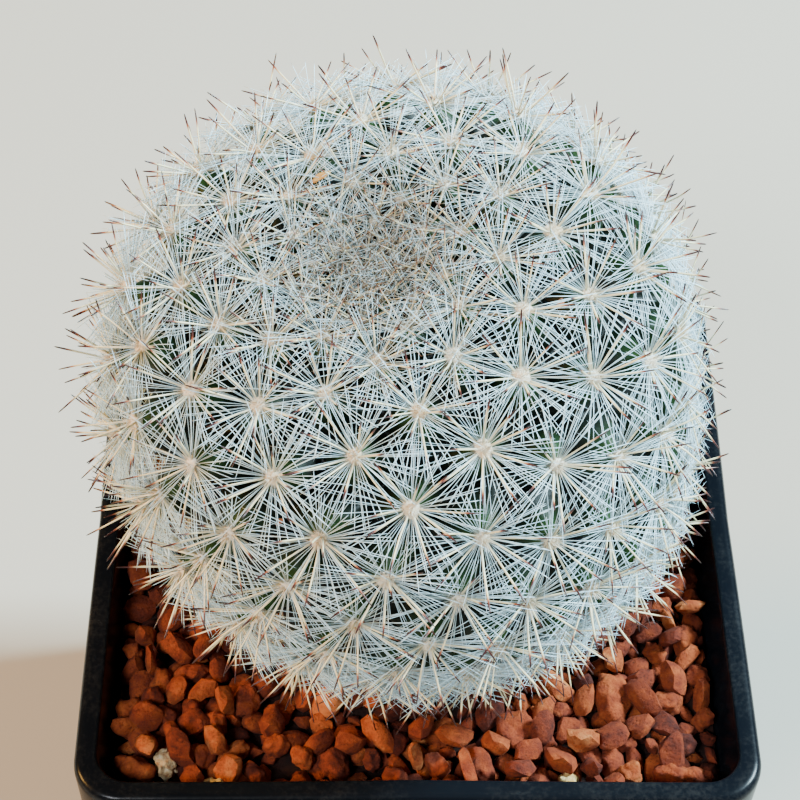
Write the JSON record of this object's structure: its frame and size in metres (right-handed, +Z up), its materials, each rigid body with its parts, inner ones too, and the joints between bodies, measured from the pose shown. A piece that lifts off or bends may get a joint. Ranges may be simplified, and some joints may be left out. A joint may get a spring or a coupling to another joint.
{
  "type": "potted round cactus",
  "caption": "Round, white-spined cactus leaning in a square black plastic pot, its soil dressed with red lava gravel.",
  "frame": {"origin": "centre of the pot's flat underside, on the surface that it stands on", "axes": "+Z up out of the pot, +X to the right and +Y to the back as the pot is usually looked at, both square to the pot's sides"},
  "size_m": [0.0903, 0.0938, 0.1549],
  "materials": {
    "pot": "black injection-moulded nursery-pot plastic, fine satin, lightly scuffed and dusty",
    "mix": "dark brown gritty potting mix, fully matt",
    "gravel": "red-orange crushed lava, matt, finely pitted",
    "pale_stone": "beige crystalline pebble, matt",
    "ochre_stone": "ochre sandy pebble, matt",
    "plant": "dark green waxy tubercles under a dense coat of thin white and cream spines"
  },
  "bodies": {
    "root": {"square_pot": "pot", "potting_mix": "mix", "gravel_bed": "gravel", "cactus": "plant", "stone_01": "gravel", "stone_02": "gravel", "stone_03": "gravel", "stone_04": "gravel", "stone_05": "pale_stone", "stone_06": "gravel", "stone_07": "gravel", "stone_08": "gravel", "stone_09": "gravel", "stone_10": "gravel", "stone_11": "gravel", "stone_12": "gravel", "stone_13": "gravel", "stone_14": "gravel", "stone_15": "gravel", "stone_16": "gravel", "stone_17": "gravel", "stone_18": "gravel", "stone_19": "gravel", "stone_20": "ochre_stone", "stone_21": "gravel", "stone_22": "gravel", "stone_23": "gravel", "stone_24": "gravel", "stone_25": "gravel", "stone_26": "gravel", "stone_27": "gravel", "stone_28": "gravel", "stone_29": "gravel", "stone_30": "gravel", "stone_31": "gravel", "stone_32": "gravel", "stone_33": "gravel", "stone_34": "gravel", "stone_35": "gravel", "stone_36": "gravel", "stone_37": "gravel", "stone_38": "gravel", "stone_39": "gravel", "stone_40": "gravel", "stone_41": "gravel", "stone_42": "ochre_stone", "stone_43": "gravel", "stone_44": "gravel", "stone_45": "gravel", "stone_46": "gravel", "stone_47": "gravel", "stone_48": "gravel", "stone_49": "gravel", "stone_50": "gravel", "stone_51": "gravel"}
  },
  "joints": []
}
